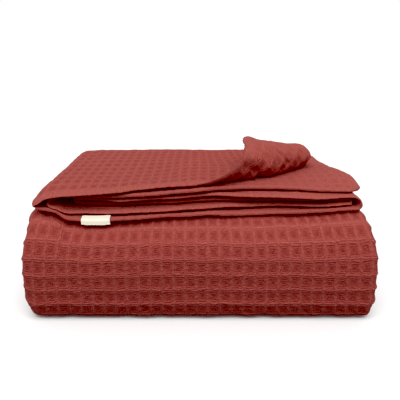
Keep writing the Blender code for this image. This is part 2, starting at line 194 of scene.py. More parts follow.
def section_stretches():
    """Stretches across the cloth, as (name, index of the layer's row, length)."""
    stretches = []
    for index, (layer, _) in enumerate(SECTION):
        start_x, end_x = run_ends(index, 0.0)
        stretches.append((f"layer {layer}", index, abs(end_x - start_x)))
        if index + 1 < len(SECTION):
            after = SECTION[index + 1][0]
            radius = abs(layer - after) * LAYER_PITCH / 2
            stretches.append((f"turn {layer}-{after}", index, math.pi * radius))
    return stretches


def path_stretches():
    """Stretches along the strip, as (name, index of the pass, length)."""
    centres = [row[0] for row in FOLDS]
    starts = [HEM_PLACE] + centres
    ends = centres + [INNER_END]
    stretches = []
    for i, (number, level, _, _) in enumerate(PASSES):
        stretches.append((f"pass {number}", i, abs(ends[i] - starts[i])))
        if i < len(FOLDS):
            half = abs(PASSES[i + 1][1] - level) / 2
            stretches.append((f"turn {number}-{PASSES[i + 1][0]}", i, math.pi * half))
    return stretches


ACROSS = section_stretches()
ALONG = path_stretches()
CLOTH_WIDTH = sum(stretch[2] for stretch in ACROSS)
CLOTH_LENGTH = sum(stretch[2] for stretch in ALONG)
print(f"flat cloth: {CLOTH_WIDTH:.0f} x {CLOTH_LENGTH:.0f} mm")


def find_stretch(stretches, place):
    """Whether a place lies in a turn, its stretch's index, and how far along it lies, from 0 to 1."""
    for name, index, length in stretches:
        if place <= length or name == stretches[-1][0]:
            return name.startswith("turn"), index, place / length
        place -= length


# %% From the flat cloth to the strip's section
def section_point(across, pass_share, off):
    """A point in the strip's section: its x, its height over the middle, and its offset in both."""
    in_turn, index, f = find_stretch(ACROSS, across)
    side = 1 if index % 2 == 0 else -1
    start_x, end_x = run_ends(index, pass_share)
    height = layer_height(SECTION[index][0])
    if not in_turn:
        return mix(start_x, end_x, f), height * LAYER_PITCH, 0.0, side * off
    after_height = layer_height(SECTION[index + 1][0])
    middle = (height + after_height) / 2
    radius = (height - after_height) / 2
    angle = math.pi * f
    x = end_x - side * abs(radius) * LAYER_PITCH * math.sin(angle)
    turn = 1 if radius > 0 else -1
    return (x, (middle + radius * math.cos(angle)) * LAYER_PITCH,
            -turn * off * math.sin(angle), side * off * math.cos(angle))


# %% [markdown]
# ### Hems
# Six hems lie over each other at the front, and each runs its own way, which is what the eye sees first of
# the stack. Noise could wave them, but where the hems part and close is plain in the photograph, so each is
# a smooth line through a few places.

# %% The front hems of the top pass
# Where the hem of each layer of the top pass lies, as (x, y) from left to right
HEMS = {
    1: ((-170.0, -106.0), (-95.0, -105.0), (-71.0, -100.5), (-40.0, -94.0), (0.0, -87.5), (80.0, -85.5),
        (150.0, -90.5)),
    2: ((-155.0, -94.0), (-120.0, -95.0), (-95.0, -101.0), (-71.0, -104.0), (-40.0, -100.5), (0.0, -93.0),
        (22.0, -85.5), (71.0, -80.5), (131.0, -85.5), (175.0, -87.0)),
    3: ((-140.0, -88.0), (-110.0, -90.0), (-86.0, -99.0), (-40.0, -97.0), (0.0, -90.5), (22.0, -87.5),
        (91.0, -98.0), (131.0, -101.0), (170.0, -96.0)),
    4: ((-140.0, -86.0), (-106.0, -88.0), (-80.0, -92.5), (-20.0, -90.0), (22.0, -83.0), (90.0, -86.0),
        (170.0, -90.0)),
    5: ((-155.0, -107.0), (-114.0, -103.0), (-80.0, -107.0), (-20.0, -101.0), (22.0, -92.0), (85.0, -89.0),
        (131.0, -97.0), (170.0, -96.0)),
    6: ((-170.0, -108.0), (-133.0, -115.0), (-71.0, -112.0), (-20.0, -105.0), (50.0, -101.0), (111.0, -103.0),
        (170.0, -102.0)),
}
hem_lines = {layer: smooth_rows(rows) for layer, rows in HEMS.items()}


def hem_y(across, x):
    """Where the front hem lies in Y: in a turn, between the hems of the two layers it joins."""
    in_turn, index, f = find_stretch(ACROSS, across)
    own = hem_lines[SECTION[index][0]](x)
    if not in_turn:
        return own
    return mix(own, hem_lines[SECTION[index + 1][0]](x), f)


print("front hems at the middle:", [round(hem_lines[layer](0.0), 1) for layer in sorted(hem_lines)])

# %% Along the strip's passes
def level_in_pass(index, height, off):
    """Height over the floor in a pass, of a height in the strip and an offset there."""
    _, level, upright, looseness = PASSES[index]
    return level + upright * (height * looseness + off)


def fold_point(index, f, height, off):
    """A point in a fold of the strip, which runs round its centre as a rounded square does."""
    centre_y, inner_reach, outer_reach, inner_square, outer_square = FOLDS[index]
    first = level_in_pass(index, height, off)
    second = level_in_pass(index + 1, height, off)
    outness = abs(first - second) / abs(PASSES[index][1] - PASSES[index + 1][1]) / 2
    half = (first - second) / 2
    reach = abs(half) * mix(inner_reach, outer_reach, outness)
    square = mix(inner_square, outer_square, outness)
    angle = math.pi * f
    share = (abs(math.sin(angle)) ** square + abs(math.cos(angle)) ** square) ** (-1 / square)
    outward = 1 if index % 2 == 0 else -1
    y = centre_y + outward * reach * math.sin(angle) * share
    return y, (first + second) / 2 + half * math.cos(angle) * share


# %% [markdown]
# ### The pressed bundle
# Under its own weight and many hands the even stack has become a cushion: its sides lean in towards the top,
# its foot is filled out, and the top pass is pinched thin at the left front and wedge shaped at the right.
# Hands could model that on the mesh, but moves that keep the order of the heights can't make two layers
# cross, so the shape is pressed by functions of the place.

# %% Sizes of the pressed bundle's shape
# Half widths by height, and how much less they are at the top by Y
LEFT_SIDE = ((0.0, 187.0), (12.0, 183.0), (35.0, 182.0), (70.0, 181.0), (100.0, 175.0), (138.0, 168.0))
RIGHT_SIDE = ((0.0, 187.0), (12.0, 183.0), (35.0, 181.0), (70.0, 180.0), (100.0, 174.0), (138.0, 170.0))
LEFT_TAPER = ((-110.0, 0.0), (-40.0, 0.0), (120.0, 3.0))
RIGHT_TAPER = ((-110.0, 4.0), (-20.0, 8.0), (90.0, 19.0), (125.0, 21.0))
TAPER_FROM = 84.0       # heights between which that sets in
TAPER_TO = 120.0
# How far the top pass's lower side rises and its upper side sinks, by X
WEDGE_RISE = ((-172.0, 8.0), (-158.0, 6.0), (-145.0, 3.6), (-134.0, -2.0), (-85.0, -2.5), (-40.0, -1.0),
              (0.0, -0.5), (50.0, -1.0), (90.0, 1.0), (130.0, 3.6), (155.0, 6.0))
WEDGE_SINK = ((-172.0, 3.0), (-130.0, 2.0), (-84.0, 1.2), (-40.0, -0.2), (-5.0, -2.2), (50.0, -1.2),
              (100.0, 0.0), (165.0, 2.5))
WEDGE_FRONT = -60.0     # Y up to which they are felt in full, and where they end
WEDGE_BACK = 100.0
# And right at its left front hem the top layer is pinched down further
PINCH_SINK = ((-172.0, 10.0), (-165.0, 9.2), (-157.0, 6.8), (-148.0, 5.6), (-130.0, 4.0), (-102.0, 1.8),
              (-84.0, 0.8), (-60.0, 0.0))
PINCH_FRONT = -112.0
PINCH_BACK = -60.0
STIFF_SHARE = 0.155     # the share of the top pass's height, below and above, that a pinch leaves stiff
STIFF_FROM = -150.0     # X between which that ends
STIFF_TO = -138.0
BACK_RISE = 2.0         # how far the top pass's upper side rises at the back
# How much further the foot stands out at the front, by height
FOOT_FILL = ((0.0, 1.45), (10.0, 1.22), (25.0, 1.05), (45.0, 1.0))

left_side = smooth_rows(LEFT_SIDE)
right_side = smooth_rows(RIGHT_SIDE)
left_taper = smooth_rows(LEFT_TAPER)
right_taper = smooth_rows(RIGHT_TAPER)
foot_fill = smooth_rows(FOOT_FILL)
wedge_rise = smooth_rows(WEDGE_RISE)
wedge_sink = smooth_rows(WEDGE_SINK)
pinch_sink = smooth_rows(PINCH_SINK)
print(f"width at the floor {left_side(0.0) + right_side(0.0):.0f} mm, at 100 mm "
      f"{left_side(100.0) + right_side(100.0):.0f} mm")

# %% From the even bundle to the pressed one
def shape_wedge(x, y, z):
    """Height in the pressed bundle of a height in the even one."""
    near = 1 - eased(y, WEDGE_FRONT, WEDGE_BACK)
    rise = wedge_rise(x) * near
    sink = wedge_sink(x) * near - BACK_RISE * (1 - near)
    sink += pinch_sink(x) * (1 - eased(y, PINCH_FRONT, PINCH_BACK))
    if z < LOWER_TOP:
        return z + rise * eased(z, LOWER_TOP / 2, LOWER_TOP)
    share = (z - LOWER_TOP) / (TOP_TOP - LOWER_TOP)
    squeezed = min(max((share - STIFF_SHARE) / (1 - 2 * STIFF_SHARE), 0.0), 1.0)
    share = mix(squeezed, share, eased(x, STIFF_FROM, STIFF_TO))
    return z + mix(rise, -sink, share)


def press(point):
    """Press the even bundle into its uneven shape, so that no layer crosses another."""
    x, y, z = point
    over = eased(z, TAPER_FROM, TAPER_TO)
    if x < 0:
        x *= (left_side(z) - over * left_taper(y)) / HALF_WIDTH
    else:
        x *= (right_side(z) - over * right_taper(y)) / HALF_WIDTH
    if y < FRONT_OUTER:
        y = FRONT_OUTER + (y - FRONT_OUTER) * foot_fill(z)
    return Vector((x, y, shape_wedge(x, y, z)))


# %% A point's whole way
def carry(across, along, off, wave=(0.0, 0.0)):
    """Carry a point of the flat cloth to its place in the folded bundle."""
    in_turn, index, f = find_stretch(ALONG, along)
    pass_share = 0.0
    if index == 0:
        pass_share = 1 - eased(f, 0.0, 1.0) if in_turn else 1.0
    x, height, x_off, n_off = section_point(across, pass_share, off)
    x += x_off
    if in_turn:
        y, z = fold_point(index, f, height, n_off)
    else:
        starts_at = FOLDS[index - 1][0] if index else hem_y(across, x)
        ends_at = FOLDS[index][0] if index < len(FOLDS) else INNER_END
        y = mix(starts_at, ends_at, f)
        z = level_in_pass(index, height, n_off)
    return press(Vector((x, y + wave[0], z + wave[1])))


print("middle of the flat cloth in the bundle:",
      [round(value, 1) for value in carry(CLOTH_WIDTH / 2, CLOTH_LENGTH / 2, 0.0)])

# %% [markdown]
# ## The turned corner
# Someone has turned the front right corner of the top layer back over the stack, and it stands in a soft roll
# that is wide at the front and tight at the back. It could be sculpted, but that would stretch the cells. A
# roll that narrows is a cone, so the cloth beyond the crease is wound round a cone, and lies flat again
# beyond half a turn.

# %% Rolling the corner of the top layer
# The ends of its crease, on the front hem and the right hem, and the roll's radius there
CREASE_FRONT = Vector((-9.8, -89.0))
CREASE_BACK = Vector((141.0, 37.0))
ROLL_FRONT = 26.9
ROLL_BACK = 9.8
ROLL_ANGLE = math.radians(177)
ROLL_SAG = 12.0         # how far the roll's foot spreads forward, halfway along
SAG_SPAN = (0.1, 0.6, 0.6, 1.0)     # the shares of the crease where that is felt
SAG_REACH = 100.0       # and how far behind the crease
CREASE_LIFT = 7.2       # how far the roll's back end stands up
LIFT_REACH = 45.0


def top_height(point, layer):
    """Height over the floor of the middle of a layer of the top pass, at a point's place."""
    return shape_wedge(point.x, point.y, TOP_LEVEL + layer_height(layer) * LOOSE_PITCH)


def crease_frame(point):
    """A point's distance beyond the corner's crease, its share along it, and the level direction there."""
    crease = CREASE_BACK - CREASE_FRONT
    outward = Vector((crease.y, -crease.x)).normalized()
    share = (point.xy - CREASE_FRONT).dot(crease) / crease.length_squared
    return (point.xy - CREASE_FRONT).dot(outward), min(max(share, 0.0), 1.0), outward


def turn_corner(point):
    """Lift the top layer near its crease, and roll its corner up and back."""
    beyond, share, outward = crease_frame(point)
    roll = mix(ROLL_FRONT, ROLL_BACK, share)
    sag = ROLL_SAG * within(share, SAG_SPAN)
    lift = CREASE_LIFT * (1 - eased((point.xy - CREASE_BACK).length, 0.0, LIFT_REACH))
    if beyond <= 0:
        spread = outward * sag * eased(beyond, -SAG_REACH, 0.0)
        return point + Vector((spread.x, spread.y, lift))
    level = top_height(point, 1)
    radius = roll - (point.z - level)
    angle = min(beyond / roll, ROLL_ANGLE)
    tail = beyond - roll * angle
    flat = radius * math.sin(angle) + tail * math.cos(angle) + sag * (1 - angle / ROLL_ANGLE)
    rise = roll - radius * math.cos(angle) + tail * math.sin(angle) + lift
    place = point.xy + outward * (flat - beyond)
    return Vector((place.x, place.y, level + rise))


print(f"roll: {2 * ROLL_FRONT:.0f} mm high at the front, {2 * ROLL_BACK:.0f} mm at the back")

# %% Where the second layer stands up plump at its right, next to the corner
PLUMP = 6.4             # how far it stands up
PLUMP_PLACE = Vector((162.0, -52.0))
PLUMP_REACH = Vector((62.0, 74.0))
PLUMP_HEM = (2.0, 50.0)         # from where to where behind its hem that sets in
PLUMP_LAYERS = (3.0, 2.2)       # and from which layer up to which


def plump(point):
    """Lift a point near the plump place of the second layer, the more the higher it lies."""
    off = point.xy - PLUMP_PLACE
    near = max(1 - (off.x / PLUMP_REACH.x) ** 2 - (off.y / PLUMP_REACH.y) ** 2, 0.0)
    hem = hem_lines[2](point.x)
    held = eased(point.y, hem + PLUMP_HEM[0], hem + PLUMP_HEM[1])
    above = eased(point.z, *(top_height(point, layer) for layer in PLUMP_LAYERS))
    return point + Vector((0, 0, PLUMP * near * above * held))


# %% Round corners of the cloth
CORNER_ROUND = 20.0     # of the cloth's own corners
TIP_ROUND = 22.0        # and of the one that is turned back


def round_corner(u, v):
    """Pull a place on the flat cloth inward where it lies in one of the cloth's rounded corners."""
    radius = TIP_ROUND if u < TIP_ROUND and v < TIP_ROUND else CORNER_ROUND
    a, b = (max(radius - min(place, size - place), 0.0) / radius
            for place, size in ((u, CLOTH_WIDTH), (v, CLOTH_LENGTH)))
    in_u = radius * a * (1 - math.sqrt(1 - b * b / 2))
    in_v = radius * b * (1 - math.sqrt(1 - a * a / 2))
    return u + math.copysign(in_u, CLOTH_WIDTH / 2 - u), v + math.copysign(in_v, CLOTH_LENGTH / 2 - v)


# %% [markdown]
# ## The waffle
# In a waffle weave, long threads float along the sides of each cell and ever shorter ones step down to its
# middle, so a cell is a soft upside-down pyramid, and the other face has the same cells half a cell over. A
# bump could shade it, but real relief also breaks the outline and casts shadows, so it is in the mesh. The
# rows follow the layer that shows on the outside of each fold, where they have to keep their real size.

# %% Rows and columns of cells, on a fine lattice of places
CELL_WIDTH = 11.7
CELL_HEIGHT = 16.5
HALF_CELL = 0.5         # from a cell's ridges to its middle, and from one face's cells to the other's
CELL_STOPS = (0.0, 0.14, 0.32, 0.5, 0.68, 0.86)     # lattice lines in a cell, closer together at its ridges
CELL_STEPS = len(CELL_STOPS)
HEM_WIDTH = 12.0
HEM_STEPS = 4
LENGTH_SAMPLES = 600
DRAWN_OUT = 0.985       # rows of pass 4 to rows elsewhere: the cloth is drawn out where it lies pressed


def shown_lengths():
    """Places along the strip, and the length there along the layer that shows on the outside."""
    places = np.linspace(0.0, CLOTH_LENGTH, LENGTH_SAMPLES)
    top_middle = ACROSS[0][2] / 2
    under_middle = ACROSS[0][2] + ACROSS[1][2] + ACROSS[2][2] / 2
    lengths = [0.0]
    for start, end in zip(places, places[1:]):
        in_turn, index, _ = find_stretch(ALONG, start)
        middle = top_middle if index == 0 else under_middle
        step = carry(middle, end, 0.0) - carry(middle, start, 0.0)
        lengths.append(lengths[-1] + step.length * (DRAWN_OUT if index == 1 and not in_turn else 1.0))
    return places, lengths


def lattice(size, cells):
    """Lattice places over a size, and each in cells from the first hem: a hem, the cells, the other hem."""
    cell = (size - 2 * HEM_WIDTH) / cells
    hem = [HEM_WIDTH * i / HEM_STEPS for i in range(HEM_STEPS + 1)]
    lines = hem[:-1] + [HEM_WIDTH + cell * (k + stop) for k in range(cells) for stop in CELL_STOPS]
    lines += [size - place for place in hem[::-1]]
    return lines, [(line - HEM_WIDTH) / cell for line in lines]


PLACES, LENGTHS = shown_lengths()
COLUMNS = round((CLOTH_WIDTH - 2 * HEM_WIDTH) / CELL_WIDTH)
ROWS = round((LENGTHS[-1] - 2 * HEM_WIDTH) / CELL_HEIGHT)
U_LINES, U_CELLS = lattice(CLOTH_WIDTH, COLUMNS)
V_LENGTHS, V_CELLS = lattice(LENGTHS[-1], ROWS)
V_LINES = list(np.interp(V_LENGTHS, LENGTHS, PLACES))
LAST_I = len(U_LINES) - 1
LAST_J = len(V_LINES) - 1
print(f"waffle: {COLUMNS} x {ROWS} cells on {len(U_LINES)} x {len(V_LINES)} lattice lines")

# %% Height of the cloth's two faces over the middle of the sheet
RIDGE = 2.1             # over the middle of the sheet
HOLLOW = 0.5
PRESSED_HOLLOW = 1.5    # on the inner face, whose cells the folding has flattened
TOP_HOLLOW = (0.7, 1.4) # on the top, which has been pressed flat most at its left
TOP_PRESSED = (130.0, 290.0)    # from where to where that changes, from the free edge
OPEN_HOLLOW = 0.2       # on the inner face where the turned corner bends
OPEN_RIDGE = 1.45       # how much higher its ridges stand there
COLUMN_RIDGE = 0.82     # ridges between columns, against those between rows
RIDGE_SHARP = 2.3       # how steeply a cell falls from its ridges
CELL_LEAN = 0.75        # how far a cell's middle lies towards its start, where 1 is not at all
HEM_HALF = 1.8
HEM_EDGE_HALF = 1.1
CREASE_U = 165.0        # where the turned corner's crease meets the front hem, from the free edge
CREASE_V = 126.0        # and the free edge, from the front hem
CREASE_OPENS = (0.62, 0.88)     # shares of the way from the corner's tip to its crease
UNEVEN = 0.3            # share by which cells differ
ROUGH = 0.7             # unevenness of the threads in a cell
HEM_UNEVEN = 0.5        # of a hem's thickness
SEAM = 0.4              # how far a hem's seam draws each face in
SEAM_STEP = 3           # lattice steps from the edge to the seam

# Noise over the cells: how often it changes in a cell, across and along, and a level of its own
HEM_GRAIN = (2.3, 2.3, 2.0)
RIDGE_GRAIN = (0.9, 0.9, 7.0)
CELL_GRAIN = (0.7, 0.7, 3.0)
THREAD_GRAIN = (2.6, 3.4, 5.0)


def in_hem(i, j):
    return not (HEM_STEPS <= i <= LAST_I - HEM_STEPS and HEM_STEPS <= j <= LAST_J - HEM_STEPS)


def cell_noise(column, row, side, grain):
    """Noise from -1 to 1 over the cells of one side of the cloth."""
    return noise.noise(Vector((column * grain[0], row * grain[1], side * grain[2])))


def near_crease(i, j):
    """How far the cells of the inner face have opened where the turned corner bends, from 0 to 1."""
    u, v = U_LINES[i], V_LINES[j]
    return eased(u / CREASE_U + v / CREASE_V, *CREASE_OPENS) if u < CREASE_U and v < CREASE_V else 0.0


def face_height(i, j, side):
    """Height of a face of the cloth over the middle of the sheet, at a lattice point."""
    if in_hem(i, j):
        step = min(i, j, LAST_I - i, LAST_J - j)
        uneven = cell_noise(U_CELLS[i], V_CELLS[j], side, HEM_GRAIN) * HEM_UNEVEN
        return (HEM_EDGE_HALF if step == 0 else HEM_HALF) + uneven - (SEAM if step == SEAM_STEP else 0.0)
    column, row = (place + (HALF_CELL if side < 0 else 0.0) for place in (U_CELLS[i], V_CELLS[j]))
    across = abs((column % 1) ** CELL_LEAN - HALF_CELL) * 2 * COLUMN_RIDGE
    along = abs((row % 1) ** CELL_LEAN - HALF_CELL) * 2
    share = max(across, along) ** RIDGE_SHARP
    ridge = 1 + UNEVEN * cell_noise(column, row, side, RIDGE_GRAIN)
    hollow = cell_noise(column, row, side, CELL_GRAIN) * UNEVEN
    hollow += cell_noise(column, row, side, THREAD_GRAIN) * ROUGH
    if side < 0:
        hollow += mix(PRESSED_HOLLOW, OPEN_HOLLOW, near_crease(i, j))
        ridge *= mix(1.0, OPEN_RIDGE, near_crease(i, j))
    else:
        hollow += mix(*TOP_HOLLOW, eased(U_LINES[i], *TOP_PRESSED)) if V_LINES[j] < ALONG[0][2] else HOLLOW
    return mix(hollow, RIDGE * ridge, share)


middle_step = CELL_STOPS.index(HALF_CELL)
print("outer face at a cell's corner and middle:",
      [round(face_height(HEM_STEPS + step, HEM_STEPS + step, 1), 2) for step in (0, middle_step)])

# %% [markdown]
# ## One closed mesh
# The real cloth is as fine inside the bundle as outside, and one even grid could carry all of it, but that
# would be over a million triangles, most of them unseen. So the cells are fine only where the cloth shows,
# and the hidden layers have large faces. The table names the stretches whose faces show on each side.

# %% Patches of the lattice
FLAP_WIDTH = 175.0      # of the top layer, from its free edge
FLAP_LENGTH = 135.0     # of the top layer, from its front hem
SECOND_SHOWN = 200.0    # of layer 2, from its free edge
LARGE = 12              # lattice steps of a face in hidden flat cloth
TURNING = 3             # and in hidden cloth that turns
EDGE = 2                # and along the edges that show little

SHOWN = {
    # side: {stretch across: stretches along}
    1: {
        "layer 1": ("hem", "pass 5", "turn 5-4"),
        "layer 6": ("turn 4-1", "turn 1-2"),
        "turn 1-6": "all",
        "turn 6-3": "all",
    },
    -1: {
        "flap": ("hem", "flap"),
        "shown 2": ("hem", "flap", "pass 5"),
    },
}


def patches(stretches, lines, splits):
    """Patches along one direction, as (names, first line, last line), split between whole cells."""
    last = len(lines) - 1 - HEM_STEPS
    found = [(("hem",), 0, HEM_STEPS)]
    place = 0.0
    for name, _, length in stretches:
        for part, size in splits.get(name, ((name, length),)):
            place += size
            cell = (np.searchsorted(lines, place) - HEM_STEPS) / CELL_STEPS
            whole = math.ceil(cell) if name.startswith("turn") else math.floor(cell)
            found.append(((name, part), found[-1][2], min(HEM_STEPS + CELL_STEPS * whole, last)))
    found[-1] = (found[-1][0], found[-1][1], last)
    return found + [(("hem",), last, last + HEM_STEPS)]


ACROSS_PATCHES = patches(ACROSS, U_LINES, {
    "layer 1": (("flap", FLAP_WIDTH), ("rest 1", ACROSS[0][2] - FLAP_WIDTH)),
    "layer 2": (("rest 2", ACROSS[-1][2] - SECOND_SHOWN), ("shown 2", SECOND_SHOWN)),
})
ALONG_PATCHES = patches(ALONG, V_LINES, {
    "pass 5": (("flap", FLAP_LENGTH), ("rest 5", ALONG[0][2] - FLAP_LENGTH)),
})


def is_shown(across, along, side):
    for name in across:
        shown = SHOWN[side].get(name, ())
        if shown == "all" or any(part in shown for part in along):
            return True
    return False


def strides(across, along, side):
    """Lattice steps of a face, across and along, in a patch."""
    if is_shown(across, along, side):
        return 1, 1
    over = 1 if "hem" in across else (EDGE if "hem" in along or across[0].startswith("turn") else LARGE)
    down = 1 if "hem" in along else (EDGE if "hem" in across else LARGE)
    if down == LARGE and along[0].startswith("turn"):
        down = TURNING
    return over, down


def stops(start, end, stride):
    """Lattice lines from start to end by a stride, with a shorter last step if one is left."""
    return list(range(start, end, stride)) + [end]


print("patches:", len(ACROSS_PATCHES), "across,", len(ALONG_PATCHES), "along")

# %% [markdown]
# ### Faces
# The cloth is one sheet with a front, a back and an edge, without a gap. Patches of large and small faces
# could overlap or be welded afterwards, which leaves slits, so here a large face takes in the corners of its
# finer neighbours from the start, and the mesh stays closed.

# %% Faces between lattice points
def lay_out_faces():
    """Faces of both sides as rings of lattice points, with the points of finer neighbours taken in."""
    quads = []
    used = set()
    for side in (1, -1):
        for across, i0, i1 in ACROSS_PATCHES:
            for along, j0, j1 in ALONG_PATCHES:
                over, down = strides(across, along, side)
                columns = stops(i0, i1, over)
                rows = stops(j0, j1, down)
                used |= {(i, j, side) for i in columns for j in rows}
                quads += [(a, b, c, d, side)
                          for a, b in zip(columns, columns[1:]) for c, d in zip(rows, rows[1:])]
    edge = {(i, j) for i, j, _ in used if i in (0, LAST_I) or j in (0, LAST_J)}
    used |= {(i, j, side) for i, j in edge for side in (1, -1)}
    rings = []
    for a, b, c, d, side in quads:
        ring = [(i, c, side) for i in range(a, b) if (i, c, side) in used]
        ring += [(b, j, side) for j in range(c, d) if (b, j, side) in used]
        ring += [(i, d, side) for i in range(b, a, -1) if (i, d, side) in used]
        ring += [(a, j, side) for j in range(d, c, -1) if (a, j, side) in used]
        rings.append(ring[::side])
    return rings, edge


def edge_walk(edge):
    """The lattice points of the cloth's edge in order, once round."""
    walk = [(i, 0) for i in range(LAST_I)]
    walk += [(LAST_I, j) for j in range(LAST_J)]
    walk += [(i, LAST_J) for i in range(LAST_I, 0, -1)]
    walk += [(0, j) for j in range(LAST_J, 0, -1)]
    return [place for place in walk if place in edge]


RINGS, EDGE_POINTS = lay_out_faces()
WALK = edge_walk(EDGE_POINTS)
for (i, j), (k, m) in zip(WALK, WALK[1:] + WALK[:1]):
    RINGS += [[(i, j, side), (i, j, 0), (k, m, 0), (k, m, side)][::side] for side in (1, -1)]
print(f"blanket: {len(RINGS)} faces, {sum(len(ring) - 2 for ring in RINGS)} triangles")

# %% [markdown]
# ## Soft and uneven
# Cotton that has been folded by hand is nowhere straight. Its rows and columns stray, its hems wave and are
# ragged where the needle has drawn them in, and the turned corner has creases. A displacement texture could
# do this, but it moves a surface only along its own normal. Noise and creases in the cloth's own sizes move
# rows, hems and folds together, as in real cloth.

# %% What makes the cloth uneven
NOISE_SEED = 1          # Blender's vector noise starts from the clock unless it is given a seed
noise.seed_set(NOISE_SEED)

EDGE_BULGE = 1.3        # how far the rounded edge of a hem stands out
WAVE_FADE = 32.0        # how far into the cloth the waves of its front hem are felt
WAVE_OUT = 1.6
WAVE_UP = 0.8
WAVE_SIZES = (26.0, 38.0)
TIP_DRAWN = 2.4         # how far the hem is drawn in beside the tip that is turned back
TIP_PLACE = 20.0
TIP_REACH = 16.0
RAG = 1.0               # of a hem's edge, between its stitches
RAG_SIZE = 4.0
RAG_FADE = 9.0
OUT_NOISE, UP_NOISE, RAG_NOISE = 1.7, 9.1, 4.3      # each wave reads the noise along a line of its own
STRAY = 0.9             # how far rows and columns stray from straight lines
STRAY_CELLS = 3.0       # over so many cells
STRAY_NOISE = 3.0       # at a level of its own in the noise
HELD_CELLS = 1.5        # cells from a hem inward that it holds
JITTER = 0.5            # and how far from cell to cell
LUMP = 1.4              # of the turned corner
LUMP_SIZE = 17.0
LUMP_NOISE = 5.0
CREASES_FADE = 30.0     # from the corner's end on the cloth

# Creases of the turned corner, whose inner face shows: troughs there where positive, and ridges
CREASES = (
    # start (u, v), end (u, v), width, depth
    ((38.0, 0.0), (74.0, 0.0), 16.0, 5.6),
    ((0.0, 6.0), (6.0, 8.0), 9.0, -1.5),
    ((0.0, 30.0), (8.0, 34.0), 10.0, 2.2),
    ((50.0, 38.0), (46.0, 68.0), 3.0, 2.6),
    ((62.0, 20.0), (88.0, 34.0), 4.5, 2.0),
    ((86.0, 14.0), (70.0, 52.0), 6.0, -2.0),
    ((104.0, 10.0), (92.0, 40.0), 4.0, 2.4),
    ((40.0, 74.0), (62.0, 66.0), 4.0, 2.2),
    ((26.0, 88.0), (18.0, 104.0), 4.0, 2.2),
    ((0.0, 92.0), (10.0, 100.0), 13.0, -4.0),
)


def hem_wave(u, v):
    """The waves of the front hem, fading into the cloth, as lengths outward and upward."""
    fade = 1 - eased(v, 0.0, WAVE_FADE)
    if fade == 0.0:
        return 0.0, 0.0
    rag = RAG * (1 - eased(v, 0.0, RAG_FADE))
    out = noise.noise(Vector((u / WAVE_SIZES[0], OUT_NOISE, 0.0))) * WAVE_OUT * fade
    out += TIP_DRAWN * math.exp(-((u - TIP_PLACE) / TIP_REACH) ** 2) * fade
    up = noise.noise(Vector((u / WAVE_SIZES[1], UP_NOISE, 0.0))) * WAVE_UP * fade
    return out + noise.noise(Vector((u / RAG_SIZE, RAG_NOISE, 0.0))) * rag, up


def stray(i, j):
    """How far a lattice point strays on the cloth: not at all at the hems, which hold it."""
    place = Vector((U_CELLS[i], V_CELLS[j], STRAY_NOISE))
    held = min(place.x, COLUMNS - place.x, place.y, ROWS - place.y)
    shift = noise.noise_vector(place / STRAY_CELLS) * STRAY + noise.noise_vector(place) * JITTER
    return shift * eased(held, 0.0, HELD_CELLS)


def crease_height(u, v):
    """How far the creases push the cloth to its outer side at a place."""
    if u > FLAP_WIDTH or v > FLAP_LENGTH:
        return 0.0
    place = Vector((u, v))
    height = noise.noise(Vector((u / LUMP_SIZE, v / LUMP_SIZE, LUMP_NOISE))) * LUMP
    for start, end, width, lift in CREASES:
        start = Vector(start)
        line = Vector(end) - start
        share = (place - start).dot(line) / line.length_squared
        reach = (place - start - line * min(max(share, 0.0), 1.0)).length
        height += lift * math.exp(-(reach / width) ** 2)
    height *= 1 - eased(u, FLAP_WIDTH - CREASES_FADE, FLAP_WIDTH)
    return height * (1 - eased(v, FLAP_LENGTH - CREASES_FADE, FLAP_LENGTH))


print("waves of the hem at the turned tip:", [round(value, 2) for value in hem_wave(TIP_PLACE, 0.0)])

# %% [markdown]
# ### Slumping
# A real stack sinks at its back corners, draws in at the floor, swells under the hems and bends blunt in its
# thick folds. A lattice modifier could push it about by hand; each of these moves is instead a length, and
# the windows in X, Y and Z where it is felt, in millimetres, so one can be changed without the others.

# %% Moves of the whole bundle
SLUMP = 1.3             # slow unevenness
SLUMP_SIZE = 75.0
SLUMP_Z = (0.0, 25.0)   # the floor holds the cloth flat below
BACK_CORNERS = (2.2, 3.5)       # how far the bundle's top sinks at its left and right back corners
BACK_X = (115.0, 175.0)
BACK_Y = (0.0, 110.0)
FOOT_ROUND = 7.0        # how far the bundle's sides draw in at the floor
FOOT_HEIGHT = 24.0
FOOT_X = (130.0, 185.0)
SHOULDER = 4.0          # how far the stack's front swells forward under the hems
SHOULDER_Y = (80.0, 100.0)
SHOULDER_Z = (5.0, 88.0, 103.0, 115.0)
NOSE_LEVEL = 121.3      # of the middle of the top pass's left fold at the hems, which is blunt
NOSE_HALF = 4.9
NOSE_BLUNT = 0.5        # power of the height over that level, where 1 leaves the fold as it is
NOSE_X = (150.0, 170.0)
NOSE_Y = (-100.0, -50.0)
SIDE_SWELL = 3.0        # how far the bundle's left shoulder swells behind the hems
SWELL_X = (120.0, 165.0)
SWELL_Y = (-114.0, -92.0, -78.0, -40.0)
SWELL_Z = (80.0, 104.0)
SIDE_DRAWN = 4.0        # how far the top pass's right side is drawn in beside the turned corner
DRAWN_X = (115.0, 165.0)
DRAWN_Y = (-45.0, 5.0, 60.0, 110.0)
DRAWN_Z = (118.0, 130.0)


def corner_sink(point):
    """How far the bundle's top sinks near its back corners."""
    sink = BACK_CORNERS[point.x > 0] * eased(abs(point.x), *BACK_X)
    return sink * (eased(point.y, *BACK_Y) * eased(point.z, LOWER_TOP, TOP_TOP))


